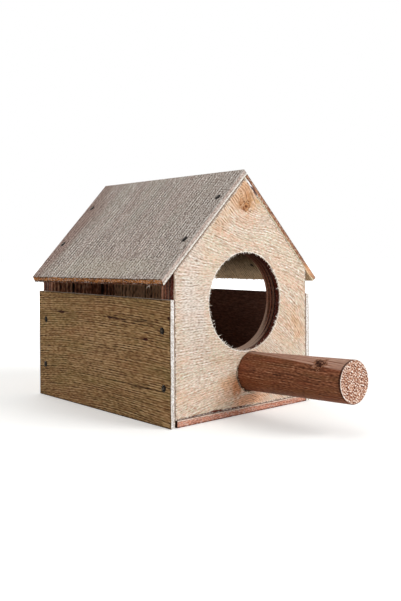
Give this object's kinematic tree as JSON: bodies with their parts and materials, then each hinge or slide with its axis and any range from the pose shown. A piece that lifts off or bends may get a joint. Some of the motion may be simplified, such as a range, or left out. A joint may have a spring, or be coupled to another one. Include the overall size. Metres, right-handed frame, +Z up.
{
  "type": "bird nest box",
  "caption": "Gabled plywood nest box with a round entrance, vent gaps under the eaves and a thick push-in dowel perch.",
  "frame": {"origin": "middle of the floor panel's underside", "axes": "+Z up, -Y towards the entrance and the perch, -X towards the side whose roof board laps over the ridge"},
  "size_m": [0.1324, 0.2329, 0.1488],
  "materials": {
    "front_ply": "pale birch veneer, sanded, unfinished",
    "back_ply": "birch veneer, sawn, unfinished",
    "side_ply": "olive-brown veneer, unfinished",
    "floor_ply": "red-brown veneer, unfinished",
    "roof_ply": "grey-taupe veneer, unfinished",
    "dowel": "turned red-brown dowel, sawn end",
    "nail_steel": "dull wire nail"
  },
  "bodies": {
    "box": {"front_panel": "front_ply", "back_panel": "back_ply", "left_side_panel": "side_ply", "right_side_panel": "side_ply", "floor_panel": "floor_ply", "left_roof_board": "roof_ply", "right_roof_board": "roof_ply", "left_side_nail_front_low": "nail_steel", "left_side_nail_front_high": "nail_steel", "left_side_nail_back_low": "nail_steel", "left_side_nail_back_high": "nail_steel", "right_side_nail_front_low": "nail_steel", "right_side_nail_front_high": "nail_steel", "right_side_nail_back_low": "nail_steel", "right_side_nail_back_high": "nail_steel", "left_roof_nail_front_high": "nail_steel", "left_roof_nail_front_low": "nail_steel", "left_roof_nail_back_high": "nail_steel", "left_roof_nail_back_low": "nail_steel", "right_roof_nail_front_high": "nail_steel", "right_roof_nail_front_low": "nail_steel", "right_roof_nail_back_high": "nail_steel", "right_roof_nail_back_low": "nail_steel", "floor_nail_front_left": "nail_steel", "floor_nail_front_right": "nail_steel", "floor_nail_back_left": "nail_steel", "floor_nail_back_right": "nail_steel"},
    "perch": {"perch": "dowel"}
  },
  "joints": [
    {"name": "perch_pull", "type": "slide", "parent": "box", "child": "perch", "axis": [-0.0418, -0.998, 0.0471], "range_m": [0, 0.02]}
  ]
}
